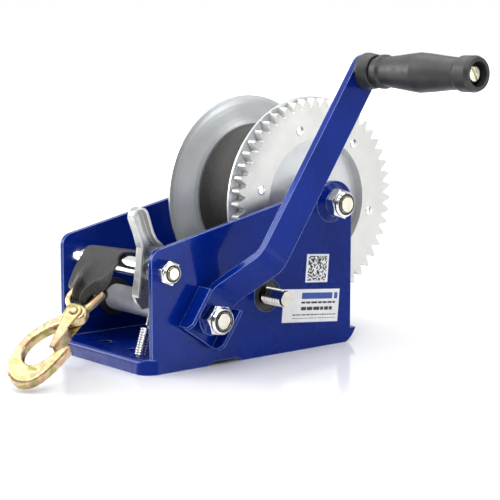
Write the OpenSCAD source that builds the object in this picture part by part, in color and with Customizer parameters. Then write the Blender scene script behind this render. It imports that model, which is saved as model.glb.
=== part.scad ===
// Hand winch for a boat trailer: two speeds, two-way pawl, webbing strap with a snap hook.
// X is along the drum axle with the crank on +X, the strap leaves towards -Y, Z is up.
// The origin is the middle of the face that bolts to the trailer.

/* [Frame] */
// Width over the two side plates
frame_w = 127; // [125:0.5:131]
// Length of the floor, front to rear
frame_l = 220; // [216:1:240]
// Length of a side plate
plate_l = 207; // [205:1:210]
// Height of the floor's top above the mounting face
floor_h = 12; // [11.5:0.5:13]
// Thickness of the steel sheet
sheet = 4; // [3.5:0.5:4]
// Height of a side plate over the axle
plate_h = 138; // [136:1:142]
// Radius of the floor's front corners, seen from above
corner_r = 12; // [10:0.5:12]
// Diameter of the four mounting holes
mount_d = 10.5; // [8:0.5:12]
// Spacing of the mounting holes across the winch
mount_dx = 40; // [36:1:44]
// Spacing of the mounting holes along the winch
mount_dy = 180; // [176:1:184]

/* [Drum] */
// Height of the drum axle
axle_z = 120; // [119:0.5:121]
// Distance of the drum axle behind the middle
axle_y = 81; // [80:0.5:82]
// Radius of the far flange
far_flange_r = 85.5; // [80:0.5:88]
// Radius of the flange behind the gear
near_flange_r = 87; // [84:0.5:88]
// Outside radius of the wound webbing
roll_r = 61.5; // [50:0.5:64]
// Width of the webbing
strap_w = 50; // [45:1:52]
// Place of the webbing's middle along the drum
strap_x = -12; // [-14:1:-4]

/* [Gears] */
// Module of the drum gear and its pinion
drum_module = 3.3; // [3.3:0.1:3.3]
// Teeth on the drum gear
drum_teeth = 50; // [50:1:50]
// Teeth on the pinion that drives the drum
drum_pinion_teeth = 10; // [10:1:10]
// Module of the first reduction
first_module = 3.6; // [3.6:0.1:3.6]
// Teeth on the large gear of the first reduction
first_gear_teeth = 24; // [24:1:24]
// Teeth on the small gear of the first reduction
first_pinion_teeth = 12; // [12:1:12]
// Diameter of the two cross shafts
shaft_d = 16; // [15:0.5:16]

/* [Crank] */
// Angle of the crank arm from upright, towards the rear
crank_angle = 34.3; // [0:0.1:60]
// Distance from the shaft to the grip
crank_l = 229; // [200:1:240]
// Width of the arm
arm_w = 26; // [22:1:28]
// Thickness of the arm
arm_t = 6; // [5:0.5:6.5]
// How far the arm steps outward
arm_step = 35; // [25:1:40]
// Largest radius of the grip
grip_r = 15.4; // [14:0.1:17]

/* [Hook] */
// Thickness of the forged hook
hook_t = 10; // [9:0.5:10]

/* [Hidden] */
$fn = 72;

// ---- Places worked out from the sizes above ----
half_w = frame_w / 2;
inner_x = half_w - sheet;
half_l = frame_l / 2;
plate_y = plate_l / 2;
fit = 0.05;                       // radial clearance of a running fit

pressure_angle = 25;
backlash = 0.45;                  // play between two meshing teeth, along the pitch circle
drum_pitch_r = drum_module * drum_teeth / 2;
second_dist = drum_module * (drum_teeth + drum_pinion_teeth) / 2;
first_dist = first_module * (first_gear_teeth + first_pinion_teeth) / 2;
second_dir = 225;                 // direction from the drum axle to the second shaft
front_dir = 189;                  // direction from the second shaft to the front shaft
axle = [axle_y, axle_z];
second = axle + second_dist * [cos(second_dir), sin(second_dir)];
front = second + first_dist * [cos(front_dir), sin(front_dir)];
rod = [-91, 79];

// Layers along the axle, from the drum out to the near plate
gear_x = 37;
gear_t = 8.5;
far_flange_x = -40;
flange_t = 2;
ratchet_x = 41;
ratchet_t = 6;
first_gear_x = 48;
first_gear_t = 8;
boss_h = 5;                       // how far the pressed boss round the axle stands out
boss_r = 16.2;

// Standard fasteners: radius or distance across flats
axle_r = 7;
axle_clear_r = 7.1;
m14_flats = 22;
m14_bore = 14.2;
m10_flats = 17;
m8_flats = 13;
m8_r = 4;
rivet_r = 3;
axle_sleeve_r = 10;

// Bushes of the two shafts
bush_hole_r = 13.5;
bush_flange_r = 16;
bush_flange_t = 1.5;
bush_bore_r = 8.75;
journal_r = 8.7;

// Front rod and pawl
rod_r = 5;
rod_sleeve_r = 7.5;
pawl_x = 44;
pawl_t = 8;
pawl_web = 2.5;
washer_r = 10.5;
washer_t = 2;
side_play = 0.3;                  // end play of the turning pieces on the rod and shafts
pawl_throw = 16;                  // travel of the pawl each way
to_front = atan2(front[1] - rod[1], front[0] - rod[0]);
rod_gap = norm(front - rod);
pawl_reach = 34;
ratchet_teeth = 10;
ratchet_r = 26;
ratchet_root = 19.5;
// Half the angle between the two gaps that the pawl can drop into, seen from the shaft
gap_half = 180 / ratchet_teeth;
pawl_in = asin(rod_gap * sin(gap_half) / pawl_reach) - gap_half;
tooth_off = pawl_in + pawl_throw;

// Crank
stub_end = half_w + 24.5;
bracket_x = half_w + 1.5;
arm_x = bracket_x + 3;
grip_x = arm_x + arm_t + arm_step;
grip_end = grip_x + 117;
flats_w = 11;

// Webbing between the drum and the rod: it leaves under the roll and passes over the rod
strap_t = 2;
strap_gap = 0.8;                  // clearance over the rod's sleeve and round the eye's bar
strap_mid_r = rod_sleeve_r + strap_gap + strap_t / 2;
roll_mid_r = roll_r + 0.6 + strap_t / 2;
rod_to_axle = norm(axle - rod);
strap_slope = atan2(axle[1] - rod[1], axle[0] - rod[0]) - asin((strap_mid_r + roll_mid_r) / rod_to_axle);
strap_leave = axle - roll_mid_r * [-sin(strap_slope), cos(strap_slope)];

// Hook, in its own frame: x across it, y up to its eye, z out of its face, latch rivet at the origin
hook_at = [41, -159, 53.5];
hook_turn = [39, 20, 15];
eye_x = -6;
eye_y = 24;                       // height of the eye's bar above the latch rivet
eye_bar_r = 3;

// ---- Helpers ----
// A flat outline in Y and Z, given thickness along X
module slab(x, t) {
    translate([x, 0, 0]) rotate([90, 0, 90]) linear_extrude(t) children();
}

// A round bar along X
module bar(at, x, r, l) {
    translate([x, at[0], at[1]]) rotate([0, 90, 0]) cylinder(r = r, h = l);
}

// A turned shape about an axis along X, from an outline of [radius, x]
module turned(at, outline) {
    translate([0, at[0], at[1]]) rotate([0, 90, 0]) rotate_extrude() polygon(outline);
}

module tube(at, x, r_out, r_in, l) {
    turned(at, [[r_in, x], [r_out, x], [r_out, x + l], [r_in, x + l]]);
}

module hexagon(at, x, across_flats, h, turn = 0) {
    translate([x, at[0], at[1]]) rotate([turn, 0, 0]) rotate([0, 90, 0])
        cylinder(d = across_flats / cos(30), h = h, $fn = 6);
}

// A lock nut: a hexagon with a round collar, chamfered at the collar end
module lock_nut(at, x, across_flats, bore_d, h, turn = 0) {
    hex_h = h * 0.72;
    difference() {
        intersection() {
            union() {
                hexagon(at, x, across_flats, hex_h, turn);
                turned(at, [[0, x], [across_flats * 0.48, x], [across_flats * 0.48, x + h * 0.9],
                    [across_flats * 0.42, x + h], [0, x + h]]);
            }
            turned(at, [[0, x], [across_flats * 0.55, x], [across_flats * 0.578, x + 1.2],
                [across_flats * 0.578, x + hex_h - 1.2], [across_flats * 0.5, x + hex_h],
                [across_flats * 0.5, x + h], [0, x + h]]);
        }
        bar(at, x - 1, bore_d / 2, h + 2);
    }
}

// Outline of a threaded end: a row of V grooves down to the core radius
function thread_outline(r, depth, x0, x1, pitch) = concat(
    [[0, x0], [r - depth, x0]],
    [for (x = [x0 + pitch / 2 : pitch : x1 - pitch], k = [0, 1]) [r - k * depth, x + k * pitch / 2]],
    [[r - depth, x1], [0, x1]]);

module threaded_end(at, r, x0, x1, pitch = 2) {
    turned(at, thread_outline(r, pitch * 0.45, x0, x1, pitch));
}

function involute(a) = tan(a) * 180 / PI - a;

// Half the angle that a tooth fills at radius r
function tooth_half(m, z, r) =
    let (base_r = m * z / 2 * cos(pressure_angle), a = acos(min(1, base_r / r)))
    90 / z - backlash / (m * z) * 180 / PI / 2 + involute(pressure_angle) - involute(a);

function polar(r, a) = r * [cos(a), sin(a)];

// Spur gear outline with a tooth at the angle "turn"
function gear_outline(m, z, turn) =
    let (pitch_r = m * z / 2, tip_r = pitch_r + 0.95 * m, root_r = pitch_r - 1.25 * m,
        low_r = max(root_r + 0.2 * m, pitch_r * cos(pressure_angle)),
        radii = [low_r, (low_r + pitch_r) / 2, pitch_r, (pitch_r + tip_r) / 2, tip_r])
    [for (k = [0 : z - 1]) let (a = turn + k * 360 / z) each concat(
        [polar(root_r, a - tooth_half(m, z, low_r) - 20 / z)],
        [for (r = radii) polar(r, a - tooth_half(m, z, r))],
        [for (k2 = [len(radii) - 1 : -1 : 0]) polar(radii[k2], a + tooth_half(m, z, radii[k2]))],
        [polar(root_r, a + tooth_half(m, z, low_r) + 20 / z)])];

module gear(at, x, t, m, z, turn) {
    slab(x, t) translate(at) polygon(gear_outline(m, z, turn));
}

// Rectangle seen from above, with round front corners
module round_plan(lx, front_y, rear_y, r) {
    translate([-lx / 2, front_y + r]) square([lx, rear_y - front_y - r]);
    translate([r - lx / 2, front_y]) square([lx - 2 * r, r + 1]);
    for (s = [-1, 1]) translate([s * (lx / 2 - r), front_y + r]) circle(r);
}

// ---- Frame ----
front_top = 97;                   // height of the side plate's front shoulder
front_r = 10;
top_slope = 12.3;
crown_r = 20;                     // the plate bulges upward round the axle
crown = [axle_y + 3.5, plate_h - crown_r];

module plate_outline() {
    shoulder = [-plate_y + front_r, front_top - front_r];
    start = shoulder + front_r * [-sin(top_slope), cos(top_slope)];
    end = [crown[0], start[1] + (crown[0] - start[0]) * tan(top_slope)];
    difference() {
        union() {
            polygon([[-plate_y, 0], [plate_y, 0], [plate_y, crown[1]], crown, end, start, shoulder,
                [-plate_y, shoulder[1]]]);
            translate(crown) circle(crown_r);
            translate(shoulder) circle(front_r);
        }
        translate([plate_y, 0]) square(2 * plate_h);
    }
}

// Side view of the pressed floor: its front edge is rounded above and its rear end curls up like a toe
toe_l = 11.5;
toe_bend = [half_l - 3.5, 3.5];
toe = [for (t = [0 : 0.2 : 1])
    [half_l - toe_l, 0] * (1 - t) ^ 2 + toe_bend * 2 * t * (1 - t) + [half_l, floor_h] * t ^ 2];
hollow_end = half_l - toe_l - 2.5;

module floor_profile() {
    edge_r = 4;
    polygon(concat([[-half_l, 0]], toe, [[edge_r - half_l, floor_h], [-half_l, floor_h - edge_r]]));
    translate([edge_r - half_l, floor_h - edge_r]) circle(edge_r);
}

module side_plate(s) {
    mirror([s < 0 ? 1 : 0, 0, 0]) {
        slab(inner_x, sheet) difference() {
            plate_outline();
            square([3 * frame_l, 2 * floor_h - 1], center = true);
        }
        turned(axle, [[0, inner_x + 1], [boss_r, inner_x + 1], [boss_r, half_w],
            [boss_r - boss_h, half_w + boss_h], [0, half_w + boss_h]]);
    }
}

module frame() {
    slot_half = 34;
    slot_play = 2.5;
    recess_wall = 0.6;                // the boss is this much thicker than its own step
    color("mediumblue") difference() {
        union() {
            difference() {
                intersection() {
                    linear_extrude(floor_h) round_plan(frame_w, -half_l, half_l, corner_r);
                    slab(-half_w, frame_w) floor_profile();
                }
                // Hollow under the floor; it ends before the toe
                translate([0, 0, -1]) linear_extrude(floor_h - sheet + 1)
                    round_plan(2 * inner_x, sheet - half_l, hollow_end, corner_r - sheet);
            }
            side_plate(1);
            side_plate(-1);
        }
        // Shallow relief along the bottom of each side
        slab(-frame_w, 2 * frame_w) polygon([[-52, -1], [-44, 3], [-20, 3], [-12, -1]]);
        // Slot that lets the large first gear reach below the floor
        translate([first_gear_x - slot_play, second[0] - slot_half, 0])
            cube([first_gear_t + 2 * slot_play, 2 * slot_half, floor_h + 1]);
        for (sx = [-1, 1], sy = [-1, 1]) translate([sx * mount_dx / 2, sy * mount_dy / 2, 0])
            cylinder(d = mount_d, h = floor_h + 1);
        // Hole for the foot of the pawl spring
        translate([spring_foot[0], spring_foot[1], 0]) cylinder(r = 2.6, h = floor_h + 1);
        for (s = [-1, 1]) mirror([s < 0 ? 1 : 0, 0, 0]) {
            turned(axle, [[0, inner_x - 1], [boss_r - 3, inner_x - 1], [boss_r - 3, inner_x],
                [boss_r - boss_h - recess_wall, inner_x + boss_h], [0, inner_x + boss_h]]);
            bar(axle, inner_x, axle_clear_r, 3 * sheet);
            bar(rod, inner_x - 1, rod_r + 0.15, 2 * sheet);
            bar(second, inner_x - 1, bush_hole_r, 2 * sheet);
            bar(front, inner_x - 1, bush_hole_r, 2 * sheet);
        }
    }
}

module axle_bolt() {
    head_x = -half_w - boss_h;
    head_h = 9;
    color("silver") {
        bar(axle, head_x, axle_r, 2 * half_w + 2 * boss_h);
        threaded_end(axle, axle_r, half_w + boss_h, half_w + boss_h + 14.5);
        hexagon(axle, head_x - head_h, m14_flats, head_h, 10);
    }
}

module axle_nut() {
    color("gainsboro") lock_nut(axle, half_w + boss_h, m14_flats, m14_bore, 13, 12);
}

module axle_sleeve() {
    color("silver") tube(axle, -inner_x - boss_h, axle_sleeve_r, axle_clear_r, 2 * (inner_x + boss_h));
}

module shaft_bushes() {
    flange_x = inner_x - bush_flange_t;
    color([0.12, 0.12, 0.13]) for (at = [second, front], s = [-1, 1]) mirror([s < 0 ? 1 : 0, 0, 0])
        turned(at, [[bush_bore_r, flange_x], [bush_flange_r, flange_x], [bush_flange_r, inner_x],
            [bush_hole_r, inner_x], [bush_hole_r, half_w - 1], [bush_bore_r, half_w - 1]]);
}

module rod_bolt() {
    head_h = 6.5;
    color("silver") {
        bar(rod, -half_w, rod_r, 2 * half_w + 1);
        threaded_end(rod, rod_r, half_w + 1, half_w + 12, 1.5);
        hexagon(rod, -half_w - head_h, m10_flats, head_h, 5);
    }
}

module rod_sleeve() {
    color("whitesmoke") tube(rod, -inner_x, rod_sleeve_r, rod_r + fit, inner_x + pawl_x - side_play);
}

module rod_washers() {
    places = [pawl_x + pawl_t + side_play, inner_x - washer_t];
    color("gainsboro") for (x = places) tube(rod, x, washer_r, rod_r + fit, washer_t);
}

module rod_spacer() {
    start = pawl_x + pawl_t + side_play + washer_t;
    color("silver") tube(rod, start, rod_sleeve_r, rod_r + fit, inner_x - washer_t - start);
}

module rod_nut() {
    color("gainsboro") lock_nut(rod, half_w, m10_flats, 10.1, 10.5, 8);
}

// ---- Pawl ----
handle_top = [-104.3, 121.2];
handle_r = 7.2;
pawl_hub_r = 14.4;
ear_tip = [-101, 48.7];
ear_hole = [-91.5, 56];

module pawl_side() {
    polygon([ear_tip, [-105.8, 54.5], [-108.3, 60.5], [-106.2, 74], [-104.7, 87], [-103.6, 97],
        [-107, 108.5], handle_top + handle_r * [cos(200), sin(200)], handle_top,
        handle_top + handle_r * [cos(20), sin(20)], [-92.7, 109], [-89.6, 103.2], [-83.4, 97.5],
        rod, [-81, 64], [-83.5, 52.5], [-92, 49]]);
    translate(handle_top) circle(handle_r);
    translate(rod) circle(pawl_hub_r);
}

// The two blunt teeth that drop into the ratchet wheel
module pawl_teeth() {
    for (s = [-1, 1]) translate(rod) rotate(to_front + s * tooth_off)
        polygon([[12, -6], [23, -4.2], [pawl_reach, -1.4], [pawl_reach, 1.4], [23, 4.2], [12, 6]]);
}

module pawl() {
    rim = 2;
    ear_h = 14.5;
    color("gainsboro") difference() {
        union() {
            slab(pawl_x, pawl_web) pawl_side();
            slab(pawl_x, pawl_t) difference() {
                pawl_side();
                offset(delta = -rim) pawl_side();
            }
            slab(ratchet_x + 0.5, ratchet_t - 1) pawl_teeth();
            bar(rod, pawl_x, 9, pawl_t);
        }
        bar(rod, ratchet_x - 1, rod_r + fit, pawl_t + 10);
        bar(ear_hole, pawl_x - 1, 2, pawl_web + 2);
        // The ear is a flat tab, so that the spring's wire can reach its hole
        translate([pawl_x + pawl_web, rod[0] - 25, ear_tip[1] - 4]) cube([pawl_t, 40, ear_h]);
        tube(rod, ratchet_x - 1, 11, rod_r, pawl_x - ratchet_x + 1);
    }
}

spring_foot = [44, -102, floor_h];
spring_head = [pawl_x + pawl_web + 1.8, ear_hole[0], ear_hole[1]];

// Close-wound tension spring, hooked through the pawl's ear at its upper end
module pawl_spring() {
    wire = 2;
    coil_r = 3.4;
    turns = 11;
    leg_r = 0.8;
    coil_start = 1.7;                 // the coil leans, and stays clear of the floor
    foot_l = 3;
    // Outer face of one turn of wire, as [outward, along] in wire thicknesses
    coil_steps = [[0.15, 0.1], [0.45, 0.5], [0.15, 0.9]];
    run = spring_head - spring_foot;
    color("gainsboro") {
        translate(spring_foot) rotate([0, acos(run[2] / norm(run)), atan2(run[1], run[0])]) {
            translate([0, 0, coil_start]) rotate_extrude() polygon(concat([[0, 0], [coil_r - wire / 2, 0]],
                [for (k = [0 : turns - 1], step = coil_steps)
                    [coil_r + wire * step[0], (k + step[1]) * wire]],
                [[coil_r - wire / 2, turns * wire], [0, turns * wire]]));
            translate([0, 0, -foot_l]) cylinder(r = leg_r, h = norm(run) + foot_l);
        }
        bar(ear_hole, pawl_x - 1.5, 1, spring_head[0] - pawl_x + 2.5);
    }
}

// ---- Drum ----
core_r = 24;
core_wall = 3;
bush_l = 10;

module drum_core() {
    color("silver") tube(axle, far_flange_x, core_r, core_r - core_wall, gear_x - far_flange_x);
}

module drum_bushes() {
    color("ivory") for (x = [far_flange_x, gear_x - bush_l])
        tube(axle, x, core_r - core_wall, axle_sleeve_r + fit, bush_l);
}

// Smooth flare from the flat of a flange out to its rim, as points of [radius, x]
function flare(flat_r, rim_r, x, depth) =
    [for (t = [0 : 0.125 : 1]) [flat_r + (rim_r - flat_r) * t, x - depth * t * t * (3 - 2 * t)]];

module far_flange() {
    flat_r = 58;
    depth = 8;
    color("lightgray") difference() {
        turned(axle, concat([[core_r, far_flange_x]], flare(flat_r, far_flange_r, far_flange_x, depth),
            backwards(flare(flat_r, far_flange_r, far_flange_x + flange_t, depth)),
            [[core_r, far_flange_x + flange_t]]));
        bar(strap_pin_at, far_flange_x - 1, m8_r, flange_t + 2);
    }
}

module near_flange() {
    dish = 2;
    flat_r = 70;
    color("gainsboro") difference() {
        turned(axle, [[core_r, gear_x - flange_t], [flat_r, gear_x - flange_t],
            [near_flange_r, gear_x - flange_t - dish], [near_flange_r, gear_x - dish], [flat_r, gear_x],
            [core_r, gear_x]]);
        bar(strap_pin_at, gear_x - flange_t - 1, m8_r, flange_t + 2);
    }
}

rivet_ring = 62;
rivet_places = [for (k = [0 : 5]) axle + polar(rivet_ring, 60 * k - 12)];

module drum_gear() {
    turn = second_dir + 180 / drum_teeth;
    hole_r = 52.5;
    color("gainsboro") difference() {
        gear(axle, gear_x, gear_t, drum_module, drum_teeth, turn);
        bar(axle, gear_x - 1, hole_r, gear_t + 2);
        for (at = rivet_places) bar(at, gear_x - 1, rivet_r, gear_t + 2);
    }
}

module gear_rivets() {
    top_x = gear_x + gear_t;
    color("silver") for (at = rivet_places) {
        bar(at, gear_x, rivet_r, gear_t);
        turned(at, [[0, top_x], [4.2, top_x], [3.6, top_x + 0.8], [0, top_x + 1.1]]);
    }
}

strap_pin_at = axle + polar(41, 262);
pin_nut_h = 7;

module strap_pin() {
    end_x = far_flange_x - pin_nut_h - 2;
    color("silver") {
        bar(strap_pin_at, end_x, m8_r, gear_x - end_x);
        bar(strap_pin_at, gear_x, 5.5, 3);
    }
}

module strap_pin_nut() {
    color("silver") lock_nut(strap_pin_at, far_flange_x - pin_nut_h, m8_flats, 2 * m8_r, pin_nut_h);
}

module strap_roll() {
    x = strap_x - strap_w / 2;
    color([0.2, 0.2, 0.2]) difference() {
        tube(axle, x, roll_r, core_r, strap_w);
        bar(strap_pin_at, x - 1, m8_r, strap_w + 2);
    }
}

// ---- Free end of the webbing ----
// Each row is [x, y, z, width, thickness]; the first rows lie under the roll
hook_axes = [hook_dir([1, 0, 0]), hook_dir([0, 1, 0]), hook_dir([0, 0, 1])];
eye_at = hook_at + eye_y * hook_axes[1];

function turn_x(v, a) = [v[0], v[1] * cos(a) - v[2] * sin(a), v[1] * sin(a) + v[2] * cos(a)];
function turn_y(v, a) = [v[0] * cos(a) + v[2] * sin(a), v[1], v[2] * cos(a) - v[0] * sin(a)];
function turn_z(v, a) = [v[0] * cos(a) - v[1] * sin(a), v[0] * sin(a) + v[1] * cos(a), v[2]];
function hook_dir(v) = turn_z(turn_y(turn_x(v, hook_turn[0]), hook_turn[1]), hook_turn[2]);
function on_hook(p) = hook_at + p[0] * hook_axes[0] + p[1] * hook_axes[1] + p[2] * hook_axes[2];

strap_meet = rod + strap_mid_r * [-sin(strap_slope), cos(strap_slope)];
run_rows = [for (t = [0 : 0.2 : 1]) let (p = strap_leave * (1 - t) + strap_meet * t)
    [strap_x, p[0], p[1], strap_w, strap_t]];
rod_rows = [for (a = [118 : 14 : 146]) let (p = rod + strap_mid_r * [cos(a), sin(a)])
    [strap_x + (a - 104) * 0.04, p[0], p[1], strap_w - (a - 104) * 0.06, strap_t]];
free_rows = [[-11, -104, 83, 50, 2.2], [-5, -111.5, 79, 49, 2.4], [3, -118.5, 76.5, 46, 2.8],
    [12, -124.5, 76, 40, 3.4], [21, -129, 76.5, 30, 4], [28, -132, 76.3, 20, 4.4]];
loop_t = 4.4;                     // two thicknesses of webbing, sewn together
loop_w = 12;
loop_r = eye_bar_r + strap_gap + loop_t / 2;
loop_rows = concat(
    [concat(on_hook([eye_x - 3, eye_y + 6, 0.6]), [loop_w + 2, loop_t])],
    [for (a = [90 : -30 : -90])
        concat(on_hook([eye_x, eye_y - loop_r * cos(a), loop_r * sin(a) - hook_t / 2]), [loop_w, loop_t])],
    [for (y = [3, 7]) concat(on_hook([eye_x, eye_y + y, -loop_r - hook_t / 2]), [loop_w, loop_t])]);
strap_rows = concat(run_rows, rod_rows, free_rows, loop_rows);

function row_point(i) = [strap_rows[i][0], strap_rows[i][1], strap_rows[i][2]];
function unit(v) = v / norm(v);
function strap_along(i) = unit(row_point(min(i + 1, len(strap_rows) - 1)) - row_point(max(i - 1, 0)));
// The webbing's width lies along X at the drum and across the hook at its eye, and is askew between them
turn_from = len(run_rows) + len(rod_rows);
turn_to = turn_from + len(free_rows);
function strap_across(i) =
    let (t = max(0, min(1, (i - turn_from) / (turn_to - turn_from))))
    unit([1, 0, 0] * (1 - t) + hook_axes[0] * t);
function strap_ring(i) =
    let (c = row_point(i), u = strap_across(i), n = unit(cross(strap_along(i), u)),
        w = strap_rows[i][3] / 2, h = strap_rows[i][4] / 2)
    [for (q = [[-1, -0.6], [-0.9, -1], [0.9, -1], [1, -0.6], [1, 0.6], [0.9, 1], [-0.9, 1], [-1, 0.6]])
        c + u * q[0] * w + n * q[1] * h];

module strap_tail() {
    rings = len(strap_rows);
    points = [for (i = [0 : rings - 1]) each strap_ring(i)];
    walls = [for (i = [0 : rings - 2], k = [0 : 7]) let (a = 8 * i + k, b = 8 * i + (k + 1) % 8)
        each [[a, b + 8, b], [a, a + 8, b + 8]]];
    ends = [[for (k = [0 : 7]) k], [for (k = [7 : -1 : 0]) 8 * (rings - 1) + k]];
    color([0.2, 0.2, 0.2]) polyhedron(points, concat(walls, ends));
}

// ---- Second shaft: carries the free crank stub ----
module crank_shaft(at) {
    gear_end = first_gear_x + first_gear_t;
    far_end = -half_w - 4;
    color("silver") {
        bar(at, far_end, shaft_d / 2, gear_end - far_end);
        bar(at, gear_end, journal_r, half_w - gear_end);
        intersection() {
            threaded_end(at, axle_r, half_w, stub_end);
            translate([half_w - 1, at[0], at[1]]) rotate([-crank_angle, 0, 0])
                translate([0, -flats_w / 2, -shaft_d / 2]) cube([30, flats_w, shaft_d]);
        }
    }
}

module second_shaft() {
    crank_shaft(second);
    color("silver") gear(second, gear_x - 0.5, gear_t + 1, drum_module, drum_pinion_teeth, second_dir - 180);
}

module first_gear() {
    color("silver") difference() {
        gear(second, first_gear_x, first_gear_t, first_module, first_gear_teeth, front_dir);
        bar(second, first_gear_x - 1, shaft_d / 2, first_gear_t + 2);
    }
}

module shaft_ring(at) {
    color("dimgray") tube(at, -half_w - 2.5, 11, shaft_d / 2, 1.5);
}

module second_ring() {
    shaft_ring(second);
}

// ---- Front shaft: carries the crank ----
module front_shaft() {
    crank_shaft(front);
}

module first_pinion() {
    turn = front_dir - 180 + 180 / first_pinion_teeth;
    color("silver") difference() {
        gear(front, first_gear_x - 0.5, first_gear_t, first_module, first_pinion_teeth, turn);
        bar(front, first_gear_x - 1, shaft_d / 2, first_gear_t + 2);
    }
}

module ratchet_wheel() {
    pitch = 360 / ratchet_teeth;
    top = 0.15;
    foot = 0.23;
    turn = to_front + 180;
    color("silver") difference() {
        slab(ratchet_x, ratchet_t) translate(front) polygon([for (k = [0 : ratchet_teeth - 1])
            let (a = turn + pitch * k)
            each [polar(ratchet_root, a - pitch * foot), polar(ratchet_r, a - pitch * top),
                polar(ratchet_r, a + pitch * top), polar(ratchet_root, a + pitch * foot)]]);
        bar(front, ratchet_x - 1, shaft_d / 2, ratchet_t + 2);
    }
}

module front_ring() {
    shaft_ring(front);
}

// Spacer on the front shaft between its far bush and the ratchet wheel
module shaft_spacer() {
    start = side_play + bush_flange_t - inner_x;
    color("lightgray") tube(front, start, 10.8, shaft_d / 2, ratchet_x - side_play - start);
}

// Shapes on the crank are drawn with the arm along Z and then leaned back
module on_crank() {
    translate([0, front[0], front[1]]) rotate([-crank_angle, 0, 0]) children();
}

// Hole that fits over the flats of a shaft's end
module flat_bore(x, l) {
    play = 0.1;
    translate([x, 0, 0]) intersection() {
        rotate([0, 90, 0]) cylinder(r = axle_clear_r, h = l);
        translate([-1, -flats_w / 2 - play, -10]) cube([l + 2, flats_w + 2 * play, 20]);
    }
}

// Channel under the arm's end, with its two lower corners cut off
module hub_bracket() {
    half = 19.5;
    wall = 3;
    deep = 14;
    low = -18;
    high = 17;
    corner = 6;
    color("mediumblue") on_crank() difference() {
        translate([bracket_x, -half, low]) cube([deep, 2 * half, high - low]);
        translate([bracket_x + wall, wall - half, low - 1]) cube([deep, 2 * (half - wall), high - low + 2]);
        flat_bore(bracket_x - 1, 2 * wall);
        for (s = [-1, 1]) translate([bracket_x + deep, s * half, low]) rotate([0, 45, 0])
            cube([corner, 20, corner], center = true);
    }
}

// The arm's centre line, from hub to grip, as [distance, outward]
bend_in = 21.7;
bend_out = 56;
bend_r = 16;
bend_angle = atan2(arm_step, bend_out - bend_in);

// Points on one side of the bent arm; off is the distance from the centre line
function arm_edge(off) =
    let (cut = bend_r * tan(bend_angle / 2), x0 = arm_x + arm_t / 2, x1 = x0 + arm_step)
    concat([[-15, x0 + off]],
        [for (a = [0 : bend_angle / 4 : bend_angle])
            [bend_in - cut + (bend_r - off) * sin(a), x0 + bend_r - (bend_r - off) * cos(a)]],
        [for (a = [bend_angle : -bend_angle / 4 : 0])
            [bend_out + cut - (bend_r + off) * sin(a), x1 - bend_r + (bend_r + off) * cos(a)]],
        [[crank_l + 13, x1 + off]]);

function backwards(list) = [for (k = [len(list) - 1 : -1 : 0]) list[k]];

module crank_arm() {
    outline = concat(arm_edge(-arm_t / 2), backwards(arm_edge(arm_t / 2)));
    color("mediumblue") on_crank() difference() {
        intersection() {
            rotate([90, 0, 0]) mirror([1, 0, 0]) rotate(90) translate([0, 0, -arm_w / 2])
                linear_extrude(arm_w) polygon(outline);
            union() {
                translate([0, -arm_w / 2, 0]) cube([200, arm_w, crank_l]);
                for (z = [0, crank_l]) translate([0, 0, z]) rotate([0, 90, 0]) cylinder(d = arm_w, h = 200);
            }
        }
        flat_bore(arm_x - 1, arm_t + 2);
        translate([grip_x - arm_t - 1, 0, crank_l]) rotate([0, 90, 0])
            cylinder(r = m8_r + 0.1, h = arm_t + 2);
    }
}

module hub_nut() {
    color("gainsboro") lock_nut(front, arm_x + arm_t, m14_flats, m14_bore, stub_end - arm_x - arm_t, 20);
}

grip_at = front + crank_l * [sin(crank_angle), cos(crank_angle)];
collar_l = 12;
nut_h = 8;
head_x = grip_end - 8;            // under the grip bolt's head, inside the grip

module grip_bolt() {
    end_x = grip_x - arm_t - nut_h - 2;
    color("wheat") difference() {
        union() {
            bar(grip_at, end_x, m8_r, head_x - end_x);
            turned(grip_at, [[0, head_x], [6.5, head_x], [6.5, head_x + 3], [5.5, head_x + 4.5],
                [0, head_x + 4.8]]);
        }
        // Screwdriver slot
        translate([head_x + 2.5, grip_at[0], grip_at[1]]) rotate([30, 0, 0])
            translate([0, -1, -8]) cube([4, 2, 16]);
    }
}

module grip_nut() {
    color("whitesmoke") difference() {
        hexagon(grip_at, grip_x - arm_t - nut_h, m8_flats, nut_h, 15);
        bar(grip_at, grip_x - arm_t - nut_h - 1, m8_r, nut_h + 2);
    }
}

module grip_collar() {
    color([0.15, 0.15, 0.15]) turned(grip_at, [[m8_r, grip_x], [14.6, grip_x], [14.8, grip_x + 2],
        [13.4, grip_x + collar_l - 1], [12.8, grip_x + collar_l], [m8_r, grip_x + collar_l]]);
}

module grip_sleeve() {
    start = grip_x + collar_l + 0.4;
    color([0.13, 0.13, 0.13]) turned(grip_at, [[m8_r + fit, start], [11.6, start], [11.6, start + 5],
        [13.4, start + 5.4], [13.4, start + 9], [11.8, start + 11.5], [13, start + 24], [14.6, start + 38],
        [grip_r, start + 47], [14.6, start + 58], [12.6, start + 78], [11.9, start + 87],
        [13.6, start + 90.5], [13.7, grip_end - 3], [12.4, grip_end], [9.5, grip_end], [9.5, head_x - 0.4],
        [m8_r + fit, head_x - 0.4]]);
}

// ---- Hook ----
module in_hook() {
    translate(hook_at) rotate(hook_turn) children();
}

// Outer edge of the hook from its neck round the bend to the point, then back along the throat
hook_edge = [[-9.5, 2], [-7.6, -6.7], [-12.1, -17.4], [-15.8, -31.3], [-15.8, -46], [-12.9, -58],
    [-8, -65.5], [0, -70.2], [8, -70.7], [14.5, -67], [19, -59], [21, -46], [20.7, -33], [20, -25],
    [17, -24.6], [12.9, -32], [11, -43], [7.5, -51], [0.5, -54], [-6.3, -49.5], [-9.3, -39],
    [-7.4, -27.7], [-2.7, -17.4], [3, -9], [9.3, 0], [6, 8], [-5, 8]];

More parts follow.
